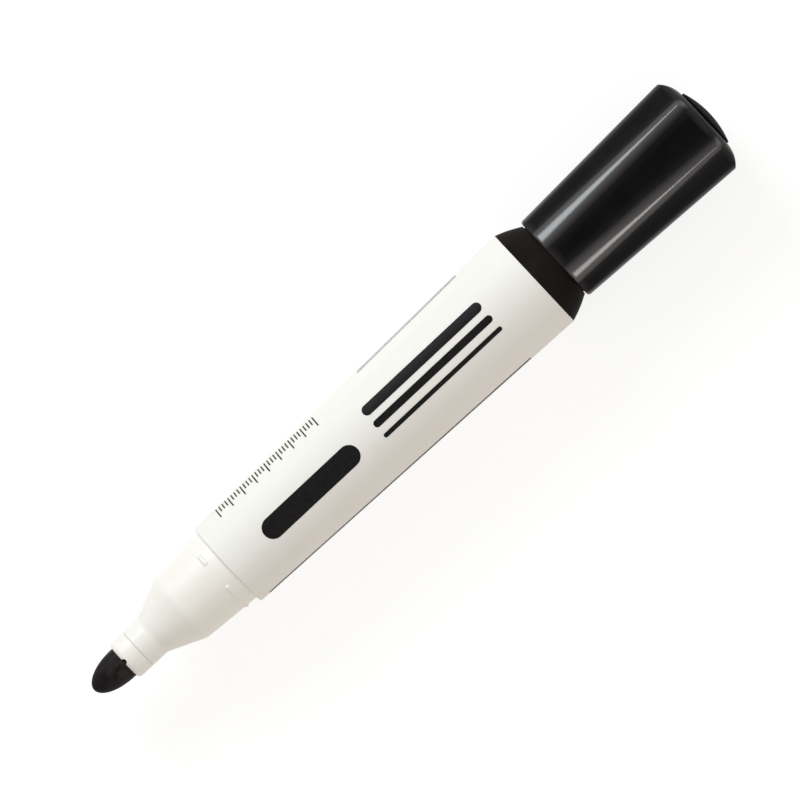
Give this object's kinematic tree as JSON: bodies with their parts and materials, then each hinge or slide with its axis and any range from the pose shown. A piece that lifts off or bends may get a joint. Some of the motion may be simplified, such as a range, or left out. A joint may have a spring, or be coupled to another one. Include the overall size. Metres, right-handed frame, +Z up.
{
  "type": "whiteboard marker",
  "caption": "Whiteboard marker with a felt bullet nib, tapered white barrel and black rear plug, its fluted black cap pushed onto the rear post.",
  "frame": {"origin": "the middle of the marker's length, on its axis", "axes": "+X along the marker's axis from the nib to the closed end of the cap, +Z up, through the middle of a flute of the cap and an air notch of the collar"},
  "size_m": [0.1378, 0.019, 0.019],
  "materials": {
    "felt_black": "inked felt, matt and fibrous",
    "white_nose": "smooth moulded, slightly translucent",
    "white_barrel": "smooth moulded, satin gloss",
    "ink_fibre": "inked fibre bundle",
    "clear_film": "thin wrapped film",
    "black_plug": "smooth moulded, satin",
    "black_cap": "smooth moulded, glossy",
    "black_liner": "smooth moulded, glossy"
  },
  "bodies": {
    "marker": {"nib": "felt_black", "nib_collar": "white_nose", "nose_section": "white_nose", "barrel": "white_barrel", "reservoir_core": "ink_fibre", "reservoir_film": "clear_film", "rear_plug": "black_plug"},
    "cap": {"cap_shell": "black_cap", "cap_liner": "black_liner"}
  },
  "joints": [
    {"name": "cap_slide", "type": "slide", "parent": "marker", "child": "cap", "axis": [1, 0, 0], "range_m": [0, 0.04]}
  ]
}
